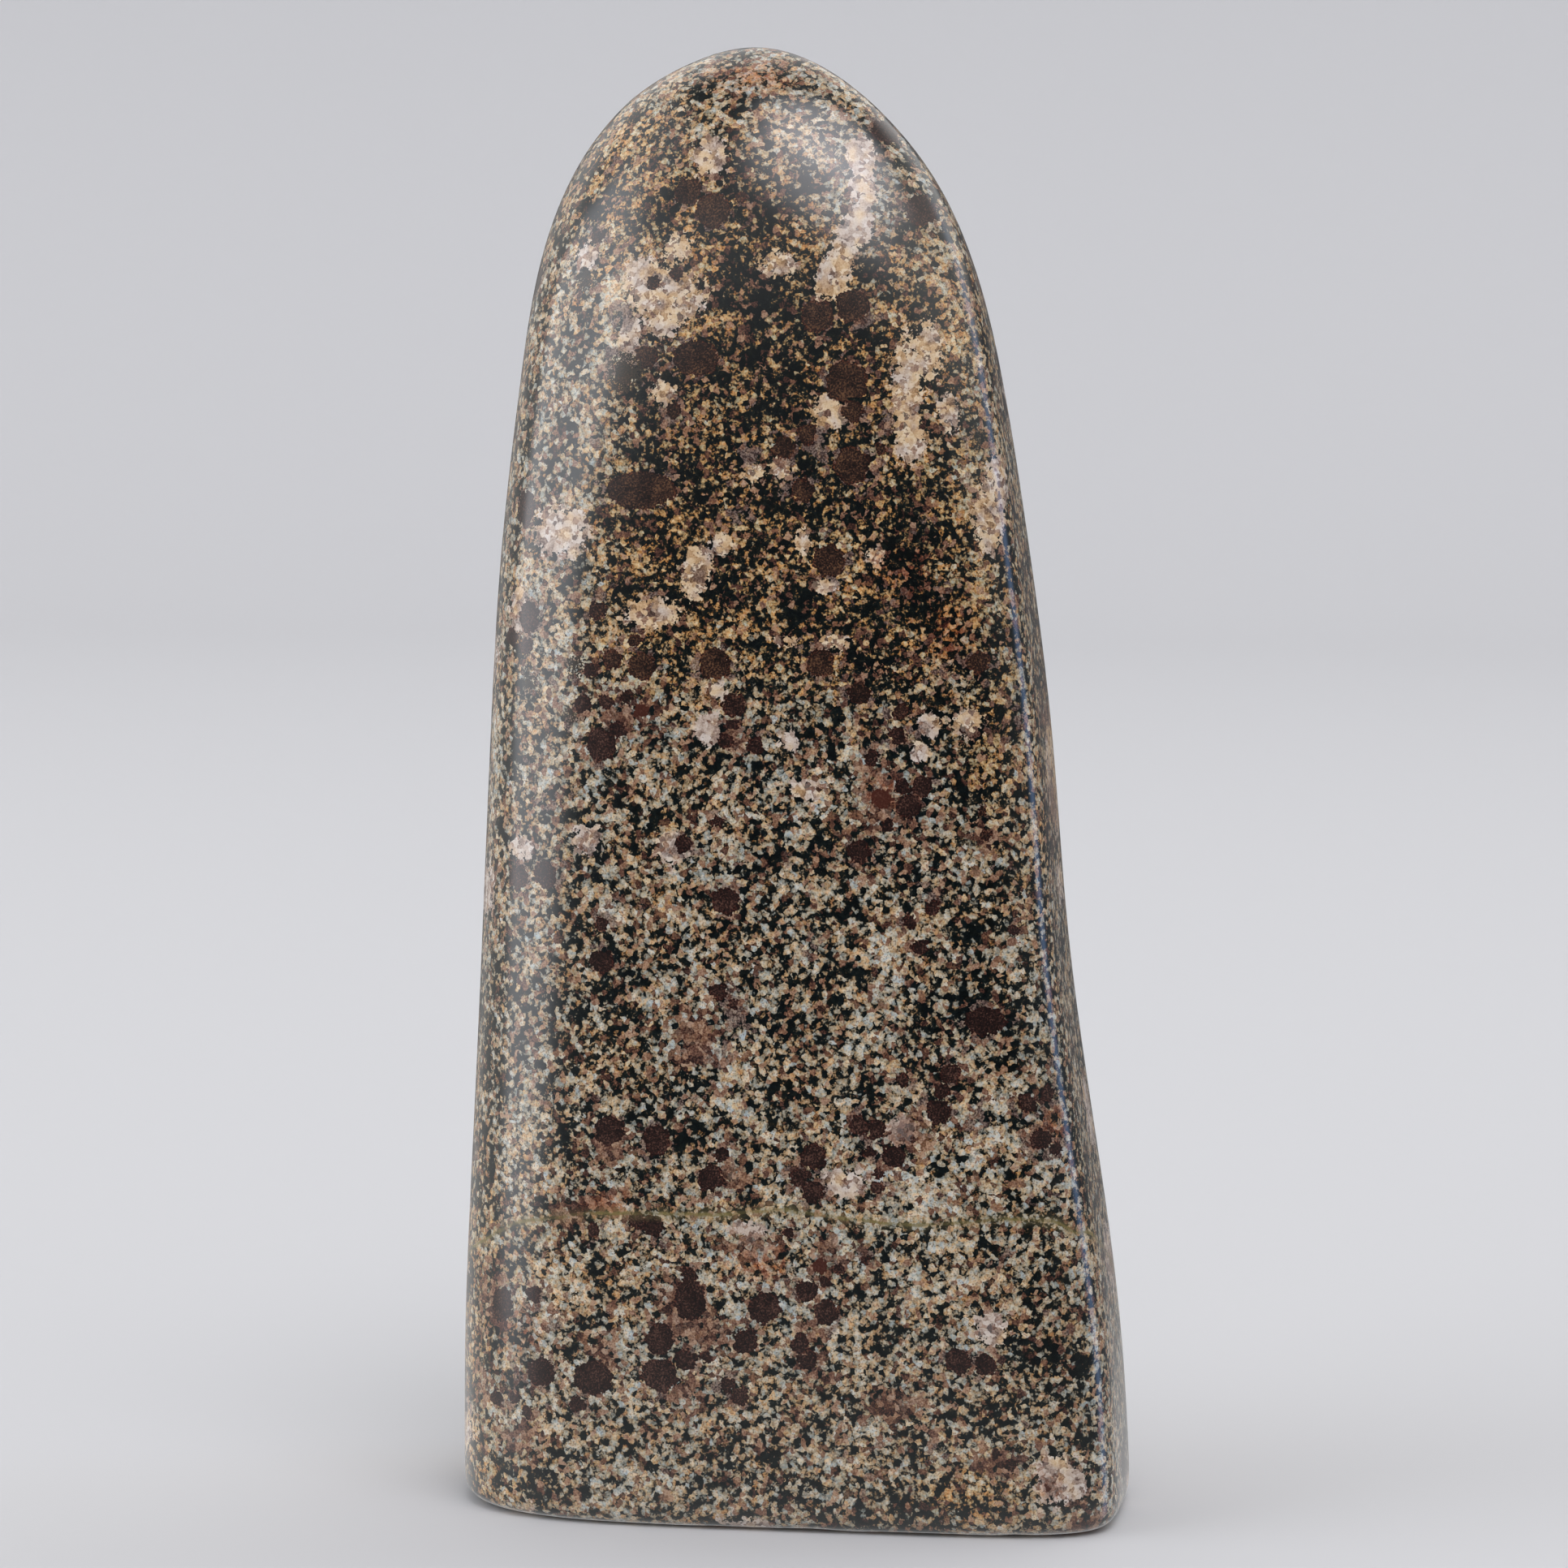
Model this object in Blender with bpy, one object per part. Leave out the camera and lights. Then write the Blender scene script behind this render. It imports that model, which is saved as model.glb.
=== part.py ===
"""A polished freeform of flower jasper: one upright stone with a domed top, standing on its sawn foot.

The broad face looks along -Y, +Z is up, and the origin is under the middle of the stone, on the foot.
The body is lofted through stations up its height. Each station is an ellipse pushed out at its corners:
tight at the front right, where two ground faces meet, and rounder at the front left and behind. The dome
closes as an ellipse again.
"""

import math

import bmesh
import bpy
import numpy as np
from mathutils import Vector

# Driving dimensions, in metres
HEIGHT = 0.140
FOOT_EDGE_RADIUS = 0.0020

# Stations up the stone: height, middle across, half width, middle deep, half depth
STATIONS = (
    (0.0020, 0.0000, 0.0325, 0.0000, 0.0214),
    (0.0160, -0.0004, 0.0320, 0.0001, 0.0213),
    (0.0350, -0.0013, 0.0303, 0.0004, 0.0208),
    (0.0550, -0.0023, 0.0284, 0.0008, 0.0199),
    (0.0750, -0.0028, 0.0271, 0.0012, 0.0188),
    (0.0930, -0.0035, 0.0254, 0.0016, 0.0175),
    (0.1080, -0.0040, 0.0235, 0.0019, 0.0160),
    (0.1200, -0.0046, 0.0211, 0.0021, 0.0141),
    (0.1290, -0.0051, 0.0170, 0.0022, 0.0112),
    (0.1355, -0.0054, 0.0110, 0.0022, 0.0073),
    (0.1390, -0.0051, 0.0048, 0.0022, 0.0032),
)
APEX_ACROSS = -0.0051
APEX_DEEP = 0.0022

# Squareness of the corners: 2 is an ellipse, more is a fuller corner
SQUARENESS_BACK_RIGHT = 2.4
SQUARENESS_BACK_LEFT = 2.4
SQUARENESS_FRONT_LEFT = 3.7
SQUARENESS_FRONT_RIGHT = 5.2
ELLIPSE = 2.0
CORNERS_FADE_FROM = 0.085
CORNERS_FADE_TO = 0.138

# How far the right end's widest place lies in front of the middle, as a share of the half depth
RIGHT_END_FORWARD = 0.45

# Facets: cells across, cells deep, and levels up to the small cap of the dome
CELLS_ACROSS = 18
CELLS_DEEP = 12
EDGE_LEVELS = 3
BODY_LEVELS = 40
CAP_SHARE = 0.905

# How near a grid corner lies to a side or the middle of its cube, to count as on it
NEAR = 1e-4

JASPER_COLOUR = (0.20, 0.16, 0.12, 1.0)
JASPER_ROUGHNESS = 0.25


def clear_scene():
    for leftover in list(bpy.data.objects):
        bpy.data.objects.remove(leftover)


def smooth_through(knots, values):
    """A cubic spline through the values at the knots, level in its bend at both ends."""
    count = len(knots)
    gaps = np.diff(knots)
    slopes = np.diff(values) / gaps
    system = np.eye(count)
    wanted = np.zeros(count)
    for i in range(1, count - 1):
        system[i, i - 1:i + 2] = gaps[i - 1], 2 * (gaps[i - 1] + gaps[i]), gaps[i]
        wanted[i] = 6 * (slopes[i] - slopes[i - 1])
    bends = np.linalg.solve(system, wanted)

    def at(place):
        i = min(max(int(np.searchsorted(knots, place)) - 1, 0), count - 2)
        gap = gaps[i]
        before = (place - knots[i]) / gap
        after = 1 - before
        pull = (after**3 - after) * bends[i] + (before**3 - before) * bends[i + 1]
        return after * values[i] + before * values[i + 1] + pull * gap * gap / 6

    return at


def body_curves():
    """Splines up the body, over a share of 0 at the lowest station and 1 at the apex."""
    rising = np.array(STATIONS)
    apex = np.array([HEIGHT, APEX_ACROSS, 0.0, APEX_DEEP, 0.0])
    # The far side of the apex mirrors the near side, so that the dome closes round and not in a point.
    falling = rising[::-1] * np.array([1, 1, -1, 1, -1])
    stations = np.vstack([rising, apex, falling])
    steps = np.hypot(np.diff(stations[:, 0]), np.diff(stations[:, 2]))
    walked = np.concatenate([[0.0], np.cumsum(steps)])
    shares = walked / walked[len(rising)]
    return [smooth_through(shares, stations[:, column]) for column in range(stations.shape[1])]


CURVES = body_curves()


def squareness(angle, height):
    """How full the section is at this angle: each corner's own value, blended round and faded in the dome."""
    corners = (
        (0.25, SQUARENESS_BACK_RIGHT),
        (0.75, SQUARENESS_BACK_LEFT),
        (1.25, SQUARENESS_FRONT_LEFT),
        (1.75, SQUARENESS_FRONT_RIGHT),
    )
    total = 0.0
    for half_turns, value in corners:
        nearness = max(0.0, math.cos(angle - half_turns * math.pi)) ** 2
        total += nearness * value
    fade = (height - CORNERS_FADE_FROM) / (CORNERS_FADE_TO - CORNERS_FADE_FROM)
    fade = min(max(fade, 0.0), 1.0)
    fade = fade * fade * (3 - 2 * fade)
    return total + (ELLIPSE - total) * fade


def section_point(share, angle, inset=0.0):
    """The point of the stone's skin at this share of the way up and angle round, pulled in by inset."""
    height, across, half_width, deep, half_depth = [curve(share) for curve in CURVES]
    power = squareness(angle, height)
    cosine, sine = math.cos(angle), math.sin(angle)
    push = (abs(cosine) ** power + abs(sine) ** power) ** (-1 / power)
    right, backward = push * cosine, push * sine
    forward = RIGHT_END_FORWARD * max(right, 0.0) * (1 - abs(backward))
    return Vector((
        across + (half_width - inset) * right,
        deep + (half_depth - inset) * (backward - forward),
        height,
    ))


def foot_edge_point(turn, angle):
    """The rounded edge of the foot: turn 0 is on the flat foot and 1 is where the body starts."""
    bend = turn * math.pi / 2
    point = section_point(0.0, angle, FOOT_EDGE_RADIUS * (1 - math.sin(bend)))
    point.z = FOOT_EDGE_RADIUS * (1 - math.cos(bend))
    return point


def angle_of(u, v):
    """The angle round the stone for a place on a square ring, an eighth of a turn to each half side."""
    if abs(u) >= abs(v):
        return math.pi / 4 * v / u + (math.pi if u < 0 else 0.0)
    return math.pi / 2 - math.pi / 4 * u / v + (math.pi if v < 0 else 0.0)


def boxed_grid():
    """A cube from -1 to 1 with an even grid of cells on its faces."""
    grid = bmesh.new()
    bmesh.ops.create_cube(grid, size=2.0)
    for axis, cells in ((0, CELLS_ACROSS), (1, CELLS_DEEP), (2, EDGE_LEVELS + BODY_LEVELS)):
        normal = Vector((0, 0, 0))
        normal[axis] = 1.0
        for cut in range(1, cells):
            everything = grid.verts[:] + grid.edges[:] + grid.faces[:]
            place = normal * (2 * cut / cells - 1)
            bmesh.ops.bisect_plane(grid, geom=everything, plane_co=place, plane_no=normal)
    return grid


def placed(corner):
    """Where a vertex of the boxed grid goes on the stone."""
    u, v, w = corner
    ring = max(abs(u), abs(v))
    if ring < NEAR:
        return Vector((0.0, 0.0, 0.0)) if w < 0 else section_point(1.0, 0.0)
    angle = angle_of(u, v)
    levels = EDGE_LEVELS + BODY_LEVELS
    level = (w + 1) / 2 * levels
    if w > 1 - NEAR:
        return section_point(1 - (1 - CAP_SHARE) * ring, angle)
    if w < NEAR - 1:
        edge = foot_edge_point(0.0, angle)
        return Vector((edge.x * ring, edge.y * ring, 0.0))
    if level <= EDGE_LEVELS:
        return foot_edge_point(level / EDGE_LEVELS, angle)
    return section_point((level - EDGE_LEVELS) / BODY_LEVELS * CAP_SHARE, angle)


def jasper():
    material = bpy.data.materials.new("flower_jasper")
    material.use_nodes = True
    shader = material.node_tree.nodes["Principled BSDF"]
    shader.inputs["Base Color"].default_value = JASPER_COLOUR
    shader.inputs["Roughness"].default_value = JASPER_ROUGHNESS
    shader.inputs["Metallic"].default_value = 0.0
    return material


def make_stone():
    grid = boxed_grid()
    for vertex in grid.verts:
        vertex.co = placed(vertex.co)
    bmesh.ops.recalc_face_normals(grid, faces=grid.faces[:])
    mesh = bpy.data.meshes.new("stone")
    grid.to_mesh(mesh)
    grid.free()
    mesh.shade_smooth()
    mesh.materials.append(jasper())
    stone = bpy.data.objects.new("stone", mesh)
    collection = bpy.data.collections.new("flower_jasper_freeform")
    bpy.context.scene.collection.children.link(collection)
    collection.objects.link(stone)
    return stone


def main():
    clear_scene()
    make_stone()


if __name__ == "__main__":
    main()
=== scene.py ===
"""The looks of a polished flower jasper freeform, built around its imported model.

The stone is one piece. Its mesh is the model's, smoothed, and its garnets, pale patches and vein are laid
out on that mesh as attributes, which the jasper material turns into a crisp, grainy pattern.
"""

import math
import random

import bmesh
import bpy
import numpy as np
from bpy.props import FloatProperty, FloatVectorProperty, IntProperty, PointerProperty
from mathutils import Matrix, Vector
from mathutils.bvhtree import BVHTree


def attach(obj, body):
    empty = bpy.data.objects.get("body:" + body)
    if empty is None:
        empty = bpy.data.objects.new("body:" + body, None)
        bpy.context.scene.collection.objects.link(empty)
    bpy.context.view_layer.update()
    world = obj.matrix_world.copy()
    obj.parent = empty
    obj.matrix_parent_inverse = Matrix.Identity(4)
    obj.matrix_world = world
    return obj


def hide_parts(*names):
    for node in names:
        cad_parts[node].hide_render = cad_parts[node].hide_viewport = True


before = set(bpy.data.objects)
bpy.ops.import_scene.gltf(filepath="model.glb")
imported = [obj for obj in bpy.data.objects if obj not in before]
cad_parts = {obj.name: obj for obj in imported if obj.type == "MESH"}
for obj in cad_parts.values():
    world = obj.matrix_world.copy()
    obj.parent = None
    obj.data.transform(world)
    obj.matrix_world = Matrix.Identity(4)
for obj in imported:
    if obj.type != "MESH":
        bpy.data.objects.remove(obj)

bl_info = {
    "name": "Flower Jasper Freeform",
    "version": (1, 0, 0),
    "blender": (4, 5, 0),
    "location": "View3D > Sidebar > Jasper",
    "description": "Builds a polished flower jasper freeform and the pale stage it stands on",
    "category": "Object",
}

MM = 0.001

# The view: how far round to the right the camera stands, how steeply it looks down, and its distance
CAMERA_AZIMUTH = math.radians(9.0)
CAMERA_ELEVATION = math.radians(6.5)
CAMERA_DISTANCE = 0.62
CAMERA_AIM = Vector((-0.00195, 0.0, 0.0690))
SENSOR_WIDTH = 36.0
PICTURE_SIDE = 1932
PIXELS_PER_METRE = 12720

# A face is unseen where the cosine between its normal and the way to the camera is below this
UNSEEN_BELOW = 0.12

# How deep a blob reaches into the stone, as a share of its larger half size
BLOB_DEPTH = 1.4

# The most that overlapping blobs add up to
MOST_SHADE = 1.5
MOST_OTHER = 1.3

# Places on the stone are pixels of that picture, from its top left corner, and so are half sizes.
# Each mark of the lists is x, y, half width, and half height where it differs.
GARNETS = (
    (848, 236, 18), (879, 259, 22), (736, 292, 9), (805, 349, 9), (833, 338, 9), (913, 244, 8),
    (1135, 259, 20), (1091, 162, 18), (1007, 389, 20), (1050, 377, 21), (795, 441, 15), (858, 441, 28, 22),
    (830, 505, 10), (790, 604, 43, 23), (648, 627, 12, 24), (652, 762, 14, 20), (736, 752, 11),
    (631, 785, 11), (782, 790, 8), (1043, 471, 26), (1050, 507, 14), (994, 535, 13), (966, 553, 14),
    (1050, 573, 22), (989, 604, 15), (1086, 553, 8), (1022, 691, 20), (994, 1674, 13), (912, 1720, 12),
    (648, 795, 10), (728, 825, 11), (755, 813, 12), (791, 821, 17), (881, 818, 20), (718, 867, 12),
    (747, 864, 10), (772, 859, 9), (741, 918, 20), (761, 900, 12), (904, 869, 15), (902, 890, 10),
    (894, 913, 10), (931, 918, 11), (1011, 817, 17), (1058, 854, 14), (1205, 816, 14), (1109, 878, 10),
    (1107, 907, 11), (1073, 933, 9), (1137, 969, 13), (1119, 994, 16), (1112, 969, 10), (1094, 1017, 9),
    (1058, 1050, 14), (1210, 1001, 7), (1215, 1030, 7), (883, 1013, 7), (843, 1040, 11), (639, 1081, 15),
    (672, 1078, 16), (894, 1109, 17), (741, 1138, 9), (1150, 1119, 10), (1122, 1137, 9), (1249, 1147, 8),
    (1134, 1166, 10), (742, 1185, 15), (886, 1222, 11), (904, 1237, 7), (1214, 1259, 26, 17),
    (1113, 1331, 9), (1172, 1324, 13), (1161, 1345, 11), (1156, 1370, 16), (1266, 1360, 12),
    (1291, 1348, 10), (1283, 1404, 14), (1300, 1414, 9), (1058, 1387, 12), (1079, 1391, 13),
    (1102, 1425, 14), (1071, 1418, 8), (1003, 1426, 16), (985, 1451, 13), (1001, 1468, 14), (1081, 1446, 8),
    (1082, 1463, 8), (751, 1393, 19), (809, 1405, 16, 20), (876, 1451, 17), (889, 1423, 10),
    (787, 1505, 11), (805, 1510, 14), (731, 1515, 7, 12), (973, 1519, 7), (1033, 1564, 7), (1067, 1553, 7),
    (619, 1607, 14, 22), (658, 1594, 10), (848, 1572, 11), (851, 1602, 20, 26), (942, 1612, 20),
    (995, 1590, 14), (1016, 1579, 8), (1018, 1618, 14, 19), (813, 1650, 17, 20), (813, 1693, 22),
    (845, 1677, 15), (869, 1671, 8), (919, 1654, 16), (986, 1657, 12), (667, 1690, 18), (730, 1698, 26, 22),
    (711, 1730, 11), (612, 1722, 10), (634, 1722, 8), (650, 1741, 8), (896, 1706, 10), (1181, 1677, 16),
    (1213, 1682, 14), (1226, 1793, 7), (1245, 1806, 8),
)
RED_GARNETS = (
    (789, 876, 9), (1087, 984, 12), (1010, 1560, 9), (1291, 1834, 3, 6),
)
DULL_GARNETS = (
    (723, 346, 14), (769, 459, 25), (710, 821, 14), (652, 841, 13), (703, 882, 10),
)

# Pale patches of feldspar. The marks along the dome's upper right, from 1063, 188 down to 1022, 351, and
# the tall one at 1062, 220, are partly a painted highlight where the light overhead glares on the polish
PALE_PATCHES_AND_HIGHLIGHT = (
    (876, 193, 22, 30), (723, 315, 18), (835, 303, 18), (840, 366, 36, 28), (802, 369, 12), (1063, 188, 18),
    (1068, 239, 10), (1053, 282, 22), (1035, 320, 20), (1022, 351, 20), (959, 326, 22, 18), (1022, 510, 22),
    (989, 668, 10, 16), (1026, 791, 20, 10), (968, 791, 15, 8), (856, 716, 14, 20), (890, 672, 14),
    (1125, 547, 15, 18), (1078, 687, 12), (927, 583, 14), (1117, 480, 18, 75), (1170, 510, 14, 25),
    (1219, 642, 20, 45), (690, 655, 38, 35), (818, 482, 16), (640, 750, 14, 30), (802, 757, 36, 20),
    (884, 851, 12), (874, 900, 20), (723, 1035, 20), (644, 1045, 20, 14), (828, 1045, 20), (1145, 892, 16),
    (1193, 890, 18), (1132, 928, 14), (1293, 933, 10, 30), (1041, 1457, 30, 18), (1110, 1395, 20),
    (923, 1516, 25, 12), (1221, 1637, 22), (1300, 1823, 25, 35), (1328, 1831, 13), (1062, 220, 14, 45),
    (792, 342, 26), (776, 412, 14, 26), (816, 402, 18, 14), (1147, 430, 14, 36), (1230, 590, 12, 28),
    (962, 577, 13), (860, 694, 14, 22), (1016, 722, 18, 11), (972, 912, 12, 16), (990, 975, 22, 14),
)

# Broad areas that lean light, and some that lean dark
LIGHT_AREAS = (
    (925, 100, 90, 30), (1180, 345, 35, 35), (790, 345, 60, 80), (860, 215, 35, 60), (860, 500, 35, 35),
    (700, 805, 45, 55), (850, 820, 120, 38), (1190, 780, 35, 60), (1060, 980, 70, 35), (860, 1050, 30, 30),
    (1180, 1060, 35, 35), (780, 1150, 40, 40), (1100, 1190, 40, 70), (1265, 1140, 35, 40),
    (862, 1305, 60, 45), (940, 1300, 40, 40), (1240, 1400, 60, 50), (697, 1440, 62, 85),
    (860, 1460, 50, 30), (1140, 1470, 80, 50), (1000, 1540, 150, 55), (700, 1610, 40, 50),
    (940, 1620, 40, 40), (1180, 1620, 40, 40), (1345, 1610, 30, 50), (700, 1700, 40, 40),
    (890, 1705, 75, 45), (615, 1750, 30, 75), (1075, 1780, 80, 40), (1255, 1790, 65, 42),
    (790, 1830, 60, 50),
)
DARK_AREAS = (
    (1112, 265, 30, 28), (920, 250, 60, 60), (920, 350, 45, 45), (1020, 370, 24, 24), (940, 450, 110, 70),
    (830, 595, 75, 65), (970, 600, 60, 50), (875, 685, 50, 45), (1090, 670, 60, 50), (940, 755, 80, 60),
    (820, 740, 60, 30), (1115, 785, 85, 70), (1090, 850, 50, 40), (1020, 905, 45, 35), (1185, 905, 40, 35),
    (1060, 1070, 60, 50), (1185, 1150, 40, 40), (740, 1190, 40, 40), (1200, 1245, 50, 40),
    (850, 1385, 30, 25), (1240, 1730, 60, 40), (1330, 1700, 25, 40), (950, 1790, 40, 30),
    (1110, 1870, 70, 25),
)

# Areas of ochre grains and of iron stain
OCHRE_AREAS = (
    (1000, 600, 160, 170), (1010, 400, 80, 90), (810, 660, 100, 80), (1005, 795, 100, 62),
    (880, 490, 140, 130), (1150, 705, 100, 150), (760, 250, 70, 60), (1150, 400, 70, 120),
    (820, 785, 80, 75), (1215, 930, 30, 110), (860, 270, 120, 110), (775, 190, 55, 60), (950, 355, 65, 90),
    (1200, 1840, 60, 35),
)
RUST_AREAS = (
    (925, 95, 80, 28), (1110, 700, 45, 40), (1170, 790, 35, 60), (750, 1485, 50, 20), (1090, 975, 30, 30),
    (640, 1640, 40, 40), (940, 1560, 50, 30), (1290, 1390, 30, 40), (1295, 1830, 20, 20),
)
# Small spots of mauve-grey quartz
MAUVE_SPOTS = (
    (1010, 552, 18, 12), (906, 635, 18, 12), (1093, 520, 14), (965, 608, 12), (925, 560, 12, 16),
    (770, 385, 14), (1210, 1381, 16), (800, 745, 18), (905, 1250, 16, 24), (880, 1300, 24, 18),
    (1140, 900, 14), (1255, 880, 10, 24),
)

# Smears of half-altered garnet
SMEARS = (
    (729, 1481, 40, 14), (700, 1500, 20, 14), (905, 1446, 24, 24), (929, 1537, 24, 20),
    (1021, 1541, 18, 26), (835, 1600, 26, 34), (866, 1640, 46, 26), (847, 1716, 20, 16),
    (607, 1600, 16, 40), (597, 1705, 14, 20), (747, 1670, 18, 26), (992, 1662, 16, 30), (864, 1270, 24, 36),
    (845, 1300, 20, 20), (1229, 1806, 26, 20), (1104, 1731, 40, 20), (770, 880, 30, 24),
    (1090, 990, 36, 40), (905, 905, 16, 30), (1120, 1400, 30, 20), (750, 1405, 22, 26), (640, 1770, 30, 20),
    (1210, 1030, 16, 24),
)

# The olive vein that crosses the stone, left to right
VEIN = (
    (594, 1530), (636, 1507), (688, 1500), (723, 1495), (777, 1495), (892, 1497), (958, 1490), (1044, 1502),
    (1117, 1510), (1179, 1508), (1241, 1502), (1297, 1505), (1325, 1519), (1364, 1544),
)


def linear(hex_colour):
    """An sRGB hex colour, such as "c9b696", as linear red, green and blue."""
    parts = [int(hex_colour[i:i + 2], 16) / 255 for i in (0, 2, 4)]
    return tuple(c / 12.92 if c <= 0.04045 else ((c + 0.055) / 1.055) ** 2.4 for c in parts)


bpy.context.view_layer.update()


class StoneSettings(bpy.types.PropertyGroup):
    grain: FloatProperty(
        name="Grain", description="Width of a single grain", default=0.54 * MM, unit="LENGTH")
    clump: FloatProperty(
        name="Clump", description="Width of the clumps of dark or light grains", default=0.76 * MM,
        unit="LENGTH")
    speck: FloatProperty(
        name="Speck", description="Width of the mottling inside a grain", default=0.17 * MM, unit="LENGTH")
    roughness: FloatProperty(
        name="Roughness", description="How dull the polish is", default=0.20, min=0.0, max=1.0)
    refraction: FloatProperty(
        name="Refraction", description="Index of refraction of the minerals, which sets the gloss",
        default=1.66, min=1.0, max=3.0)
    hidden_garnets: IntProperty(
        name="Hidden garnets", description="Garnets on the sides the photograph doesn't show", default=230)
    seed: IntProperty(name="Seed", description="Seed of the hidden sides' pattern", default=7)


class StageSettings(bpy.types.PropertyGroup):
    floor_colour: FloatVectorProperty(
        name="Floor", description="Colour of the pale floor and backdrop", default=linear("c7c7c8"),
        subtype="COLOR")
    window: FloatProperty(
        name="Window", description="Brightness of the large soft window at the left", default=2.6)
    overhead: FloatProperty(
        name="Overhead", description="Brightness of the soft light above the camera", default=4.2)
    room: FloatProperty(
        name="Room", description="Brightness of the walls all round", default=0.16)


def add_node(tree, kind, sockets=None, **settings):
    """Adds a node. A socket takes a number, an sRGB hex colour, a node's output or the node itself."""
    made = tree.nodes.new(kind)
    for name, value in settings.items():
        setattr(made, name, value)
    for name, value in (sockets or {}).items():
        if isinstance(name, str):
            socket = next(s for s in made.inputs if s.enabled and s.name == name)
        else:
            socket = made.inputs[name]
        if isinstance(value, bpy.types.Node):
            value = next(s for s in value.outputs if s.enabled)
        if isinstance(value, bpy.types.NodeSocket):
            tree.links.new(value, socket)
        elif isinstance(value, str):
            socket.default_value = (*linear(value), 1.0)
        else:
            socket.default_value = value
    return made


def camera_axes():
    """Where the camera is, and its right, up and backward directions."""
    level = math.cos(CAMERA_ELEVATION)
    back = Vector((
        math.sin(CAMERA_AZIMUTH) * level,
        -math.cos(CAMERA_AZIMUTH) * level,
        math.sin(CAMERA_ELEVATION),
    ))
    right = Vector((math.cos(CAMERA_AZIMUTH), math.sin(CAMERA_AZIMUTH), 0.0))
    return CAMERA_AIM + back * CAMERA_DISTANCE, right, back.cross(right), back


def point_at(surface, x, y):
    """The point of the surface that the camera sees at a pixel of the picture, or None."""
    eye, right, up, back = camera_axes()
    across = (x - PICTURE_SIDE / 2) / PIXELS_PER_METRE
    upward = (PICTURE_SIDE / 2 - y) / PIXELS_PER_METRE
    direction = right * across + up * upward - back * CAMERA_DISTANCE
    return surface.ray_cast(eye, direction.normalized())[0]


class Blob:
    """An ellipsoid round a point of the stone, measured across, up and along the camera's view."""

    def __init__(self, centre, half_width, half_height, kind=0.0):
        eye, right, up, back = camera_axes()
        self.centre = np.array(centre)
        self.axes = np.array((right, up, back))
        self.halves = np.array((half_width, half_height, BLOB_DEPTH * max(half_width, half_height)))
        self.kind = kind

    @property
    def radius(self):
        return float(math.sqrt(self.halves[0] * self.halves[1]))

    def offsets(self, points):
        """Where the points lie from the middle, in half sizes of the blob."""
        return (points - self.centre) @ self.axes.T / self.halves


def pictured_blobs(surface, marks, kind=0.0):
    """A blob for each mark of x, y, half width and perhaps half height in the picture."""
    blobs = []
    for x, y, half_width, *rest in marks:
        centre = point_at(surface, x, y)
        if centre is None:
            raise ValueError(f"the mark at {x}, {y} misses the stone")
        half_height = rest[0] if rest else half_width
        blobs.append(Blob(centre, half_width / PIXELS_PER_METRE, half_height / PIXELS_PER_METRE, kind))
    return blobs


def unseen_points(mesh, count, rng):
    """Random points on the parts of the stone that the camera doesn't see, by area."""
    eye = camera_axes()[0]
    areas = [polygon.area for polygon in mesh.polygons]
    chosen = []
    while len(chosen) < count:
        polygon = mesh.polygons[rng.choices(range(len(areas)), weights=areas)[0]]
        if polygon.normal.dot((eye - polygon.center).normalized()) < UNSEEN_BELOW:
            chosen.append(polygon.center.copy())
    return chosen


def hidden_garnets(mesh, surface, settings):
    """Garnets for the unseen sides, a third of them alone and the others in loose clusters."""
    rng = random.Random(settings.seed)
    cluster_size, cluster_spread = 7, 4.0 * MM
    usual_radius, radius_spread, largest_radius = 0.95, 0.38, 2.4
    kinds, shares = (0.0, 1.0, -1.0), (0.88, 0.05, 0.07)
    eye = camera_axes()[0]
    clusters = unseen_points(mesh, settings.hidden_garnets // cluster_size, rng)
    places = unseen_points(mesh, settings.hidden_garnets // 3, rng)
    while len(places) < settings.hidden_garnets:
        offset = Vector([rng.gauss(0.0, cluster_spread) for axis in range(3)])
        place, normal, index, distance = surface.find_nearest(rng.choice(clusters) + offset)
        if normal.dot((eye - place).normalized()) < UNSEEN_BELOW:
            places.append(place)
    blobs = []
    for place in places:
        radius = min(rng.lognormvariate(math.log(usual_radius), radius_spread), largest_radius) * MM
        stretch = rng.uniform(0.8, 1.25)
        kind = rng.choices(kinds, weights=shares)[0]
        blobs.append(Blob(place, radius * stretch, radius / stretch, kind))
    return blobs


def put(mesh, name, values, kind="FLOAT", domain="POINT"):
    """Stores one value for each point or face corner as an attribute of the mesh."""
    attribute = mesh.attributes.new(name, kind, domain)
    field = "vector" if kind == "FLOAT_VECTOR" else "value"
    attribute.data.foreach_set(field, np.asarray(values, np.float32).ravel())


def sum_of(blobs, points):
    """How deep each point lies in the blobs: 1 at a blob's middle, fading past its edge."""
    total = np.zeros(len(points))
    for blob in blobs:
        total += np.exp(-(blob.offsets(points) ** 2).sum(1))
    return total


def vein_distance(surface, points):
    """How far each point lies above the sheet of the vein, a plane that waves a little across the stone."""
    seen = np.array([point_at(surface, x, y) for x, y in VEIN])
    middle = seen.mean(0)
    normal = np.linalg.svd(seen - middle)[2][2]
    normal = normal * np.sign(normal[2])
    waves = (seen - middle) @ normal
    return (points - middle) @ normal - np.interp(points[:, 0], seen[:, 0], waves)


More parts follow.
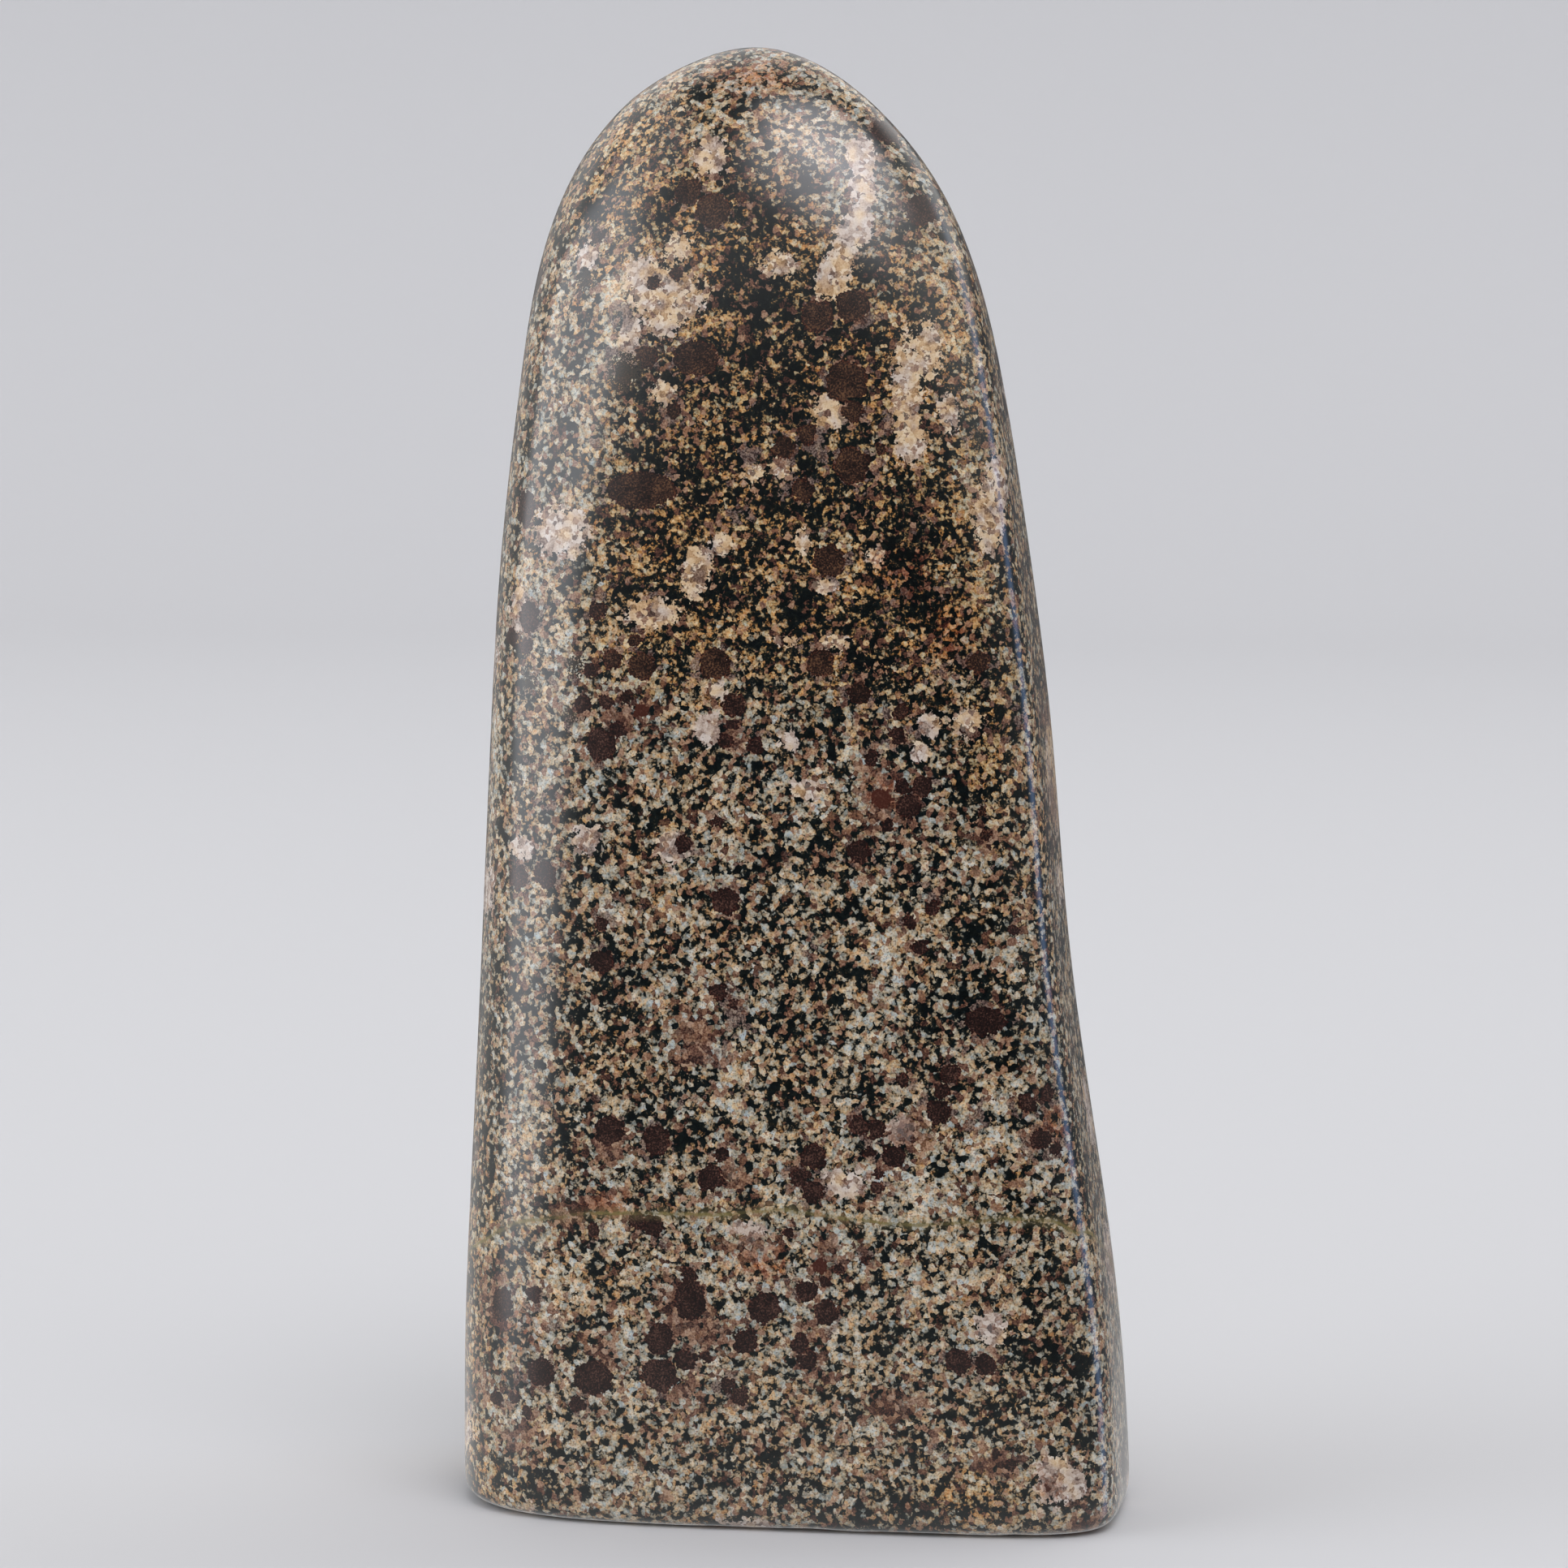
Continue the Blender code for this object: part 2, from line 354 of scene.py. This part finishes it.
def mark_garnets(mesh, points, blobs):
    """Gives each face its nearest garnet, and each of its corners its offset from that garnet."""
    corner_points = np.zeros(len(mesh.loops), np.int64)
    mesh.loops.foreach_get("vertex_index", corner_points)
    totals = np.zeros(len(mesh.polygons), np.int64)
    mesh.polygons.foreach_get("loop_total", totals)
    middles = np.zeros(len(mesh.polygons) * 3)
    mesh.polygons.foreach_get("center", middles)
    middles = middles.reshape(-1, 3)
    nearest = np.full(len(middles), np.inf)
    owner = np.zeros(len(middles), np.int64)
    for number, blob in enumerate(blobs):
        outside = (np.linalg.norm(blob.offsets(middles), axis=1) - 1) * blob.radius
        closer = outside < nearest
        nearest[closer] = outside[closer]
        owner[closer] = number
    corner_owner = np.repeat(owner, totals)
    offsets = np.zeros((len(corner_points), 3))
    radii = np.zeros(len(corner_points))
    kinds = np.zeros(len(corner_points))
    for number, blob in enumerate(blobs):
        mine = corner_owner == number
        offsets[mine] = blob.offsets(points[corner_points[mine]]) * blob.radius / MM
        radii[mine] = blob.radius / MM
        kinds[mine] = blob.kind
    put(mesh, "garnet_offset", offsets, "FLOAT_VECTOR", "CORNER")
    put(mesh, "garnet_radius", radii, domain="CORNER")
    put(mesh, "garnet_kind", kinds, domain="CORNER")


def mark_stone(mesh, settings):
    """Lays out the stone's garnets, patches and areas as attributes of its mesh."""
    surface = BVHTree.FromPolygons([v.co for v in mesh.vertices], [p.vertices for p in mesh.polygons])
    points = np.zeros(len(mesh.vertices) * 3)
    mesh.vertices.foreach_get("co", points)
    points = points.reshape(-1, 3)
    garnets = pictured_blobs(surface, GARNETS) + pictured_blobs(surface, RED_GARNETS, 1.0)
    garnets += pictured_blobs(surface, DULL_GARNETS, -1.0) + hidden_garnets(mesh, surface, settings)
    mark_garnets(mesh, points, garnets)

    areas = {name: pictured_blobs(surface, marks) for name, marks in (
        ("pale", PALE_PATCHES_AND_HIGHLIGHT), ("light", LIGHT_AREAS), ("dark", DARK_AREAS), ("mauve", MAUVE_SPOTS),
        ("ochre", OCHRE_AREAS), ("rust", RUST_AREAS), ("brown", SMEARS))}
    rng = random.Random(settings.seed + 1)
    for place in unseen_points(mesh, 70, rng):
        radius = rng.uniform(1.2, 2.6) * MM
        areas["pale"].append(Blob(place, radius, radius * rng.uniform(0.8, 1.8)))
    # Count, half width and half height in millimetres
    for name, count, half_width, half_height in (
            ("dark", 22, 5.0, 4.0), ("light", 30, 4.0, 3.5), ("mauve", 30, 1.4, 1.2),
            ("ochre", 10, 8.0, 9.0), ("rust", 10, 4.0, 3.0)):
        for place in unseen_points(mesh, count, rng):
            areas[name].append(Blob(place, half_width * MM, half_height * MM))
    for place in unseen_points(mesh, 30, rng):
        areas["brown"].append(Blob(place, rng.uniform(1.2, 3.2) * MM, rng.uniform(1.0, 2.6) * MM))
    for name, blobs in areas.items():
        most = MOST_SHADE if name in ("light", "dark") else MOST_OTHER
        put(mesh, name, np.minimum(sum_of(blobs, points), most))
    put(mesh, "vein", vein_distance(surface, points) / MM)


def add_measures(tree, measures, rows):
    """Works out more measures of the stone, each from the measures before it.

    A row has the new measure's name, what it starts from, and the measures that are added to that with
    their weights. The start and a weight are a number or a measure's name. The row may end with a range
    of the sum and the two values that it is eased between over that range.
    """
    for name, start, weights, *ease in rows:
        total = measures.get(start, start)
        for source, weight in weights.items():
            total = add_node(tree, "ShaderNodeMath", {
                0: measures[source], 1: measures.get(weight, weight), 2: total}, operation="MULTIPLY_ADD")
        if ease:
            low, high, bottom, top = ease
            total = add_node(tree, "ShaderNodeMapRange", {
                "Value": total, "From Min": low, "From Max": high, "To Min": bottom, "To Max": top},
                interpolation_type="SMOOTHSTEP")
        measures[name] = total


def lay_over(tree, measures, colour, layers):
    """Lays more colours over a colour, each as strongly as the product of its measures."""
    for names, over, blend in layers:
        share = measures[names[0]]
        for name in names[1:]:
            share = add_node(tree, "ShaderNodeMath", {0: share, 1: measures[name]}, operation="MULTIPLY")
        colour = add_node(tree, "ShaderNodeMix", {
            "Factor": share, "A": colour, "B": over}, data_type="RGBA", blend_type=blend)
    return colour


def flower_jasper(settings):
    """Flower jasper, a rock of dark green-black and cream grains with brown garnets, ground and polished.

    To the eye it is a dense pepper and salt of grains under a millimetre wide, with a soft, slightly dull
    gloss over all of them alike.
    """
    material = bpy.data.materials.new("flower_jasper_polished")
    material.use_nodes = True
    tree = material.node_tree
    place = add_node(tree, "ShaderNodeTexCoord").outputs["Object"]
    garnet_offset = add_node(tree, "ShaderNodeAttribute", attribute_name="garnet_offset").outputs["Vector"]
    measures = {"everywhere": 1.0}
    for name in (
            "pale", "light", "dark", "ochre", "rust", "mauve", "brown", "vein", "garnet_radius",
            "garnet_kind"):
        measures[name] = add_node(tree, "ShaderNodeAttribute", attribute_name=name).outputs["Fac"]

    # Drifts of the minerals, each with its width, detail, roughness and distortion
    noises = {}
    for name, width, detail, roughness, distortion in (
            ("clumps", settings.clump, 2.0, 0.55, 0.4),
            ("fine_clumps", 0.6 * settings.clump, 2.0, 0.6, 0.0),
            ("specks", settings.speck, 1.0, 0.5, 0.0), ("fringe", 0.3 * MM, 1.0, 0.5, 0.0),
            ("wobble", 0.8 * MM, 2.0, 0.6, 0.0), ("blotches", 1.6 * MM, 1.0, 0.5, 0.0),
            ("drifts", 3 * MM, 1.0, 0.5, 0.0), ("swells", 6 * MM, 1.0, 0.5, 0.0)):
        noises[name] = add_node(tree, "ShaderNodeTexNoise", {
            "Vector": place, "Scale": 1 / width, "Detail": detail, "Roughness": roughness,
            "Distortion": distortion})
        measures[name] = noises[name]
    for name in ("blotches", "drifts", "swells"):
        measures[name + "_colour"] = noises[name].outputs["Color"]

    # Single grains are cells with shaken edges: each has its own lightness and hue
    shaken = add_node(tree, "ShaderNodeVectorMath", {
        0: noises["fringe"].outputs["Color"], 1: (0.30 * MM,) * 3, 2: place}, operation="MULTIPLY_ADD")
    cells = add_node(tree, "ShaderNodeTexVoronoi", {"Vector": shaken, "Scale": 1 / settings.grain})
    measures["grain_middle"] = cells.outputs["Distance"]
    for name, source in (("grain", cells), ("fringe", noises["fringe"])):
        parts = add_node(tree, "ShaderNodeSeparateColor", {"Color": source.outputs["Color"]})
        for part in ("Red", "Green", "Blue"):
            measures[f"{name}_{part.lower()}"] = parts.outputs[part]

    # The rock is finer where it is ochre
    add_measures(tree, measures, (("finer", "ochre", {}, 0.1, 0.8, 0.0, 1.0),))
    measures["clumps"] = add_node(tree, "ShaderNodeMix", {
        "Factor": measures["finer"], "A": measures["clumps"], "B": measures["fine_clumps"]})

    # How far a point lies from its garnet's middle, for the round garnet and for its irregular outline
    measures["garnet_reach"] = add_node(
        tree, "ShaderNodeVectorMath", {0: garnet_offset}, operation="LENGTH").outputs["Value"]
    wobble = add_node(tree, "ShaderNodeVectorMath", {
        0: noises["wobble"].outputs["Color"], 1: (0.5, 0.5, 0.5)}, operation="SUBTRACT")
    wobble = add_node(tree, "ShaderNodeVectorMath", {
        0: wobble, 1: (1.3, 1.3, 1.3), 2: garnet_offset}, operation="MULTIPLY_ADD")
    measures["outline_reach"] = add_node(
        tree, "ShaderNodeVectorMath", {0: wobble}, operation="LENGTH").outputs["Value"]

    add_measures(tree, measures, (
        ("lightness", -0.164, {
            "clumps": 0.62, "grain_red": 0.24, "specks": 0.20, "grain_middle": -0.09, "drifts": 0.30,
            "swells": 0.10, "pale": 0.02, "ochre": -0.038, "dark": -0.055, "light": 0.062}),
        ("warmth", -1.47, {"grain_green": 0.8, "blotches": 1.2, "fringe_red": 1.2, "ochre": 0.74}),
        ("hue", -0.20, {"grain_blue": 0.35, "swells_colour": 0.35, "fringe_green": 0.65}),
        ("dark_speck", "specks", {}, 0.36, 0.43, 0.6, 0.0),
        ("light_grain", "lightness", {}, 0.53, 0.58, 0.0, 1.0),
        # Feldspar patches, which on the dome's upper right are partly a painted highlight
        ("patch", -1.66, {
            "pale": 1.3, "clumps": 1.4, "specks": 0.4, "grain_red": 0.42}, -0.05, 0.07, 0.0, 0.95),
        ("mottle", 0.01, {"specks": 0.25, "blotches": 0.35, "grain_blue": 0.35}),
        ("creamy", 0.0, {"blotches_colour": 0.7, "ochre": 0.10}, 0.33, 0.50, 0.0, 1.0),
        # Mauve grains, which crowd beside the garnets and in drifts of their own
        ("beside", 0.0, {"garnet_reach": 1.0, "garnet_radius": -1.0}, 0.1, 1.4, 0.30, 0.0),
        ("crowd", -1.66, {
            "drifts_colour": 1.5, "beside": 1.0, "rust": 0.2, "mauve": 0.7, "grain_blue": 0.75,
            "lightness": 0.3}, 0.0, 0.08, 0.0, 0.8),
        # Half-altered garnet and iron stain
        ("smear", -1.17, {
            "brown": 0.55, "clumps": 0.9, "blotches": 0.5, "grain_blue": 0.6}, 0.0, 0.08, 0.0, 0.85),
        ("smear_tone", 0.0, {"specks": 0.6, "grain_red": 0.4}),
        ("stain", -1.30, {"rust": 0.85, "blotches": 0.8, "fringe_blue": 1.1}),
        # Garnets, some of them speckled, with a rim
        ("speckled", "garnet_kind", {}, -0.6, -0.4, 1.0, 0.0),
        ("gap", "specks", {}, 0.5, 0.62, 0.0, -1.0),
        ("inside", 0.33, {
            "garnet_radius": 1.0, "outline_reach": -1.0, "clumps": -0.35, "specks": -0.35,
            "speckled": "gap"}),
        ("is_garnet", "inside", {}, -0.04, 0.04, 0.0, 1.0),
        ("rim", "inside", {}, 0.02, 0.25, 0.6, 0.0),
        ("garnet_tone", 0.0, {"specks": 0.7, "blotches": 0.3}),
        ("red_garnet", "garnet_kind", {}, 0.4, 0.6, 0.0, 0.55),
        ("dull_garnet", "garnet_kind", {}, -0.6, -0.4, 0.45, 0.0),
        # The vein, which shows in places
        ("above_vein", -0.28, {"vein": 1.0, "blotches": 0.35, "specks": 0.20}),
        ("broken", 0.0, {"drifts": 0.7, "clumps": 0.3}, 0.40, 0.56, 0.25, 0.85),
    ))
    measures["off_vein"] = add_node(
        tree, "ShaderNodeMath", {0: measures["above_vein"]}, operation="ABSOLUTE")
    add_measures(tree, measures, (
        ("vein_line", "off_vein", {}, 0.06, 0.22, 1.0, 0.0),
        ("vein_haze", "off_vein", {}, 0.1, 0.9, 0.35, 0.0),
    ))

    # Colours along a measure, each with its stops
    colours = {}
    for name, measure, stops in (
            # From dark amphibole through brown edges to feldspar
            ("cool_rock", "lightness", (
                (0.34, "040a0b"), (0.480, "131b1a"), (0.503, "4f473b"), (0.525, "8e8270"),
                (0.61, "bbaf9d"), (0.76, "dcd2c6"))),
            ("ochre_rock", "lightness", (
                (0.34, "060b0b"), (0.455, "181d18"), (0.492, "5f472e"), (0.522, "a4794a"),
                (0.60, "ccaa7a"), (0.74, "e2d0b2"))),
            ("tint", "hue", (
                (0.24, "c4dcf0"), (0.40, "eef5f6"), (0.53, "fff6e4"), (0.68, "ffdcb4"))),
            ("lavender", "mottle", (
                (0.26, "5f4a42"), (0.34, "988275"), (0.43, "bdaa9c"), (0.55, "d1c4b9"), (0.68, "ddd4cf"))),
            ("cream", "mottle", (
                (0.26, "6a4d35"), (0.34, "a9855e"), (0.43, "cba981"), (0.55, "dcc4a2"), (0.68, "ead9c0"))),
            ("mauve", "specks", (
                (0.38, "3f302c"), (0.50, "6b5750"), (0.62, "8f7a6e"))),
            ("altered", "smear_tone", (
                (0.28, "2f1c18"), (0.42, "58382d"), (0.56, "7b5542"), (0.72, "a5846c"))),
            ("garnet", "garnet_tone", (
                (0.36, "160e0d"), (0.48, "291915"), (0.56, "37221d"), (0.68, "5a4036"))),
            ("brown_garnet", "garnet_tone", (
                (0.36, "160f0c"), (0.47, "2b1b15"), (0.55, "3d281e"), (0.66, "634631")))):
        colours[name] = add_node(tree, "ShaderNodeValToRGB", {"Fac": measures[measure]})
        elements = colours[name].color_ramp.elements
        while len(elements) < len(stops):
            elements.new(0.5)
        for element, (position, hex_colour) in zip(elements, stops):
            element.position = position
            element.color = (*linear(hex_colour), 1.0)

    patches = lay_over(tree, measures, colours["lavender"], (
        (("creamy",), colours["cream"], "MIX"),
    ))
    garnets = lay_over(tree, measures, colours["garnet"], (
        (("finer",), colours["brown_garnet"], "MIX"),
        (("rim",), "ff9a86", "MULTIPLY"),
        (("red_garnet",), "54291c", "MIX"),
        (("dull_garnet",), "3b382b", "MIX"),
    ))
    rock = lay_over(tree, measures, colours["cool_rock"], (
        (("warmth",), colours["ochre_rock"], "MIX"),
        (("everywhere",), colours["tint"], "MULTIPLY"),
        (("dark_speck", "light_grain"), "5d3f33", "MIX"),
        (("patch",), patches, "MIX"),
        (("crowd",), colours["mauve"], "MIX"),
        (("smear",), colours["altered"], "MIX"),
        (("stain",), "f09a5c", "MULTIPLY"),
        (("is_garnet",), garnets, "MIX"),
        (("vein_haze", "broken"), "94855a", "MIX"),
        (("vein_line", "broken"), "776b40", "MIX"),
    ))

    shader = tree.nodes["Principled BSDF"]
    tree.links.new(next(s for s in rock.outputs if s.enabled), shader.inputs["Base Color"])
    shader.inputs["Roughness"].default_value = settings.roughness
    shader.inputs["IOR"].default_value = settings.refraction
    return material


def pale_paper(settings):
    """Seamless paper, matt and pale, which gives a plain ground with soft shadows."""
    material = bpy.data.materials.new("seamless_paper")
    material.use_nodes = True
    shader = material.node_tree.nodes["Principled BSDF"]
    shader.inputs["Base Color"].default_value = (*settings.floor_colour, 1.0)
    shader.inputs["Roughness"].default_value = 0.9
    shader.inputs["Specular IOR Level"].default_value = 0.1
    return material


class JASPER_OT_stage(bpy.types.Operator):
    """Makes the camera, the lights and the pale floor with its backdrop"""

    bl_idname = "jasper.stage"
    bl_label = "Stage"

    def execute(self, context):
        settings = context.scene.jasper_stage
        self.add_camera(context)
        self.add_lights(context, settings)
        self.add_floor(context, settings)
        return {"FINISHED"}

    def add_camera(self, context):
        eye, right, up, back = camera_axes()
        lens = bpy.data.cameras.new("camera")
        lens.sensor_width = SENSOR_WIDTH
        lens.lens = SENSOR_WIDTH * PIXELS_PER_METRE * CAMERA_DISTANCE / PICTURE_SIDE
        camera = bpy.data.objects.new("camera", lens)
        camera.location = eye
        camera.rotation_euler = back.to_track_quat("Z", "Y").to_euler()
        context.scene.collection.objects.link(camera)
        context.scene.camera = camera

    def add_lights(self, context, settings):
        """A room all round at the world's distance: soft bright openings, and a dark side by the camera."""
        world = bpy.data.worlds.new("studio")
        context.scene.world = world
        world.use_nodes = True
        tree = world.node_tree
        direction = add_node(tree, "ShaderNodeTexCoord").outputs["Generated"]
        parts = add_node(tree, "ShaderNodeSeparateXYZ", {"Vector": direction})
        toward_camera = add_node(tree, "ShaderNodeMath", {
            0: parts.outputs["Y"], 1: -1.0}, operation="MULTIPLY")
        azimuth = add_node(tree, "ShaderNodeMath", {
            0: parts.outputs["X"], 1: toward_camera}, operation="ARCTAN2")
        elevation = add_node(tree, "ShaderNodeMath", {0: parts.outputs["Z"]}, operation="ARCSINE")
        sky = add_node(tree, "ShaderNodeCombineXYZ", {"X": azimuth, "Y": elevation})

        # Azimuth, elevation, half width and half height in degrees; edge; brightness; colour
        openings = (
            (5, -2, 42, 26, 0.35, -settings.room * 0.8, "ffffff"),
            (-68, 15, 32, 24, 0.85, settings.window, "f0f2f7"),
            (-76, 46, 38, 12, 0.60, settings.window * 0.45, "f0f2f7"),
            (-32, 23, 20, 12, 0.40, settings.window * 0.32, "f2f4f8"),
            (-118, 4, 34, 26, 0.60, 0.55, "f4f2ee"),
            (100, 38, 75, 22, 0.60, 0.9, "f6f4f0"),
            (20, 34, 44, 14, 0.40, 0.30, "f4f4f4"),
            (112, 4, 9, 28, 0.20, 1.8, "a4c8ff"),
        )
        glow = [settings.room * c for c in linear("f2f4f8")]
        for across, upward, half_width, half_height, edge, brightness, hex_colour in openings:
            centred = add_node(tree, "ShaderNodeVectorMath", {
                0: sky, 1: (-math.radians(across), -math.radians(upward), 0.0)})
            scaled = add_node(tree, "ShaderNodeVectorMath", {
                0: centred, 1: (1 / math.radians(half_width), 1 / math.radians(half_height), 0.0)},
                operation="MULTIPLY")
            from_middle = add_node(tree, "ShaderNodeVectorMath", {0: scaled}, operation="LENGTH")
            share = add_node(tree, "ShaderNodeMapRange", {
                "Value": from_middle.outputs["Value"], "From Min": edge, "From Max": 2 - edge,
                "To Min": 1.0, "To Max": 0.0}, interpolation_type="SMOOTHSTEP")
            colour = [brightness * c for c in linear(hex_colour)]
            glow = add_node(tree, "ShaderNodeVectorMath", {
                0: share, 1: colour, 2: glow}, operation="MULTIPLY_ADD")
        # Round ones overhead: azimuth, elevation, radius of the bright middle and of the edge, brightness
        for across, upward, middle, edge, brightness in (
                (35, 64, 5, 20, settings.overhead), (10, 51, 6, 18, settings.overhead * 0.75)):
            a, e = math.radians(across), math.radians(upward)
            above = Vector((math.sin(a) * math.cos(e), -math.cos(a) * math.cos(e), math.sin(e)))
            near = add_node(tree, "ShaderNodeVectorMath", {0: direction, 1: above}, operation="DOT_PRODUCT")
            share = add_node(tree, "ShaderNodeMapRange", {
                "Value": near.outputs["Value"], "From Min": math.cos(math.radians(edge)),
                "From Max": math.cos(math.radians(middle))}, interpolation_type="SMOOTHSTEP")
            glow = add_node(tree, "ShaderNodeVectorMath", {
                0: share, 1: [brightness * c for c in linear("f6f5fb")], 2: glow}, operation="MULTIPLY_ADD")
        # The wall behind the stone is bright above, and only the camera sees it as an even grey
        behind = add_node(tree, "ShaderNodeMapRange", {
            "Value": parts.outputs["Y"], "From Min": 0.05, "From Max": 0.45, "To Min": 0.0, "To Max": 1.0},
            interpolation_type="SMOOTHSTEP")
        high = add_node(tree, "ShaderNodeMapRange", {
            "Value": elevation, "From Min": math.radians(8), "From Max": math.radians(30)},
            interpolation_type="SMOOTHSTEP")
        behind = add_node(tree, "ShaderNodeMath", {0: behind, 1: high}, operation="MULTIPLY")
        glow = add_node(tree, "ShaderNodeVectorMath", {0: glow, 1: behind}, operation="ADD")
        # The floor lights the stone from below
        floor_glow = add_node(tree, "ShaderNodeMapRange", {
            "Value": elevation, "From Min": math.radians(-13), "From Max": math.radians(-7),
            "To Min": 0.5, "To Max": 0.0}, interpolation_type="SMOOTHSTEP")
        glow = add_node(tree, "ShaderNodeVectorMath", {0: glow, 1: floor_glow}, operation="ADD")
        ray = add_node(tree, "ShaderNodeLightPath").outputs["Is Camera Ray"]
        shown = add_node(tree, "ShaderNodeMix", {
            "Factor": ray, "A": glow, "B": (0.62, 0.62, 0.64, 1.0)}, data_type="RGBA")
        background = tree.nodes["Background"]
        tree.links.new(next(s for s in shown.outputs if s.enabled), background.inputs["Color"])

    def add_floor(self, context, settings):
        """One sheet that lies flat under the stone, then bends up behind it."""
        bend_at, bend_radius, reach, height, half_width, level = 0.9, 0.3, 3.0, 0.3, 3.0, -0.05 * MM
        sheet = bmesh.new()
        line = [sheet.verts.new((-half_width, y, level)) for y in (-reach, bend_at)]
        sheet.edges.new(line)
        bmesh.ops.spin(
            sheet, geom=[line[1]], cent=(-half_width, bend_at, bend_radius), axis=(1, 0, 0),
            angle=math.pi / 2, steps=24)
        top = max(sheet.verts, key=lambda v: v.co.z)
        raised = bmesh.ops.extrude_vert_indiv(sheet, verts=[top])["verts"]
        bmesh.ops.translate(sheet, verts=raised, vec=(0, 0, height))
        widened = bmesh.ops.extrude_edge_only(sheet, edges=sheet.edges[:])["geom"]
        moved = [v for v in widened if isinstance(v, bmesh.types.BMVert)]
        bmesh.ops.translate(sheet, verts=moved, vec=(2 * half_width, 0, 0))
        bmesh.ops.recalc_face_normals(sheet, faces=sheet.faces[:])
        mesh = bpy.data.meshes.new("floor")
        sheet.to_mesh(mesh)
        sheet.free()
        mesh.shade_smooth()
        mesh.materials.append(pale_paper(settings))
        floor = bpy.data.objects.new("floor", mesh)
        floor.visible_glossy = False
        context.scene.collection.objects.link(floor)


class JASPER_OT_stone(bpy.types.Operator):
    """Makes the polished stone from the model's solid"""

    bl_idname = "jasper.stone"
    bl_label = "Stone"

    def execute(self, context):
        settings = context.scene.jasper_stone
        mesh = self.smooth_mesh(context)
        mark_stone(mesh, settings)
        mesh.materials.clear()
        mesh.materials.append(flower_jasper(settings))
        stone = bpy.data.objects.new("polished_stone", mesh)
        context.scene.collection.objects.link(stone)
        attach(stone, "root")
        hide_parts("stone")
        return {"FINISHED"}

    def smooth_mesh(self, context):
        """The solid's own mesh, merged, made quads again and subdivided into a smooth skin."""
        facets = bmesh.new()
        facets.from_mesh(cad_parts["stone"].data)
        bmesh.ops.remove_doubles(facets, verts=facets.verts[:], dist=0.001 * MM)
        bmesh.ops.join_triangles(
            facets, faces=facets.faces[:], angle_face_threshold=math.radians(40),
            angle_shape_threshold=math.radians(60))
        mesh = bpy.data.meshes.new("stone_facets")
        facets.to_mesh(mesh)
        facets.free()
        holder = bpy.data.objects.new("stone_facets", mesh)
        context.scene.collection.objects.link(holder)
        subdivision = holder.modifiers.new("skin", "SUBSURF")
        subdivision.levels = 2
        subdivision.render_levels = 2
        graph = context.evaluated_depsgraph_get()
        skin = bpy.data.meshes.new_from_object(holder.evaluated_get(graph))
        bpy.data.objects.remove(holder)
        bpy.data.meshes.remove(mesh)
        skin.name = "polished_stone"
        skin.shade_smooth()
        return skin


class JASPER_PT_panel(bpy.types.Panel):
    """Lists what the script builds"""

    bl_idname = "JASPER_PT_panel"
    bl_label = "Flower jasper freeform"
    bl_space_type = "VIEW_3D"
    bl_region_type = "UI"
    bl_category = "Jasper"

    def draw(self, context):
        for group, operator in (("jasper_stage", JASPER_OT_stage), ("jasper_stone", JASPER_OT_stone)):
            box = self.layout.box()
            settings = getattr(context.scene, group)
            for name in settings.__annotations__:
                box.prop(settings, name)
            box.operator(operator.bl_idname)


CLASSES = (StoneSettings, StageSettings, JASPER_OT_stage, JASPER_OT_stone, JASPER_PT_panel)


def register():
    for made in CLASSES:
        bpy.utils.register_class(made)
    bpy.types.Scene.jasper_stone = PointerProperty(type=StoneSettings)
    bpy.types.Scene.jasper_stage = PointerProperty(type=StageSettings)


def unregister():
    del bpy.types.Scene.jasper_stage
    del bpy.types.Scene.jasper_stone
    for made in reversed(CLASSES):
        bpy.utils.unregister_class(made)


def main():
    register()
    bpy.context.scene.view_settings.view_transform = "Standard"
    bpy.ops.jasper.stage()
    bpy.ops.jasper.stone()


if __name__ == "__main__":
    main()
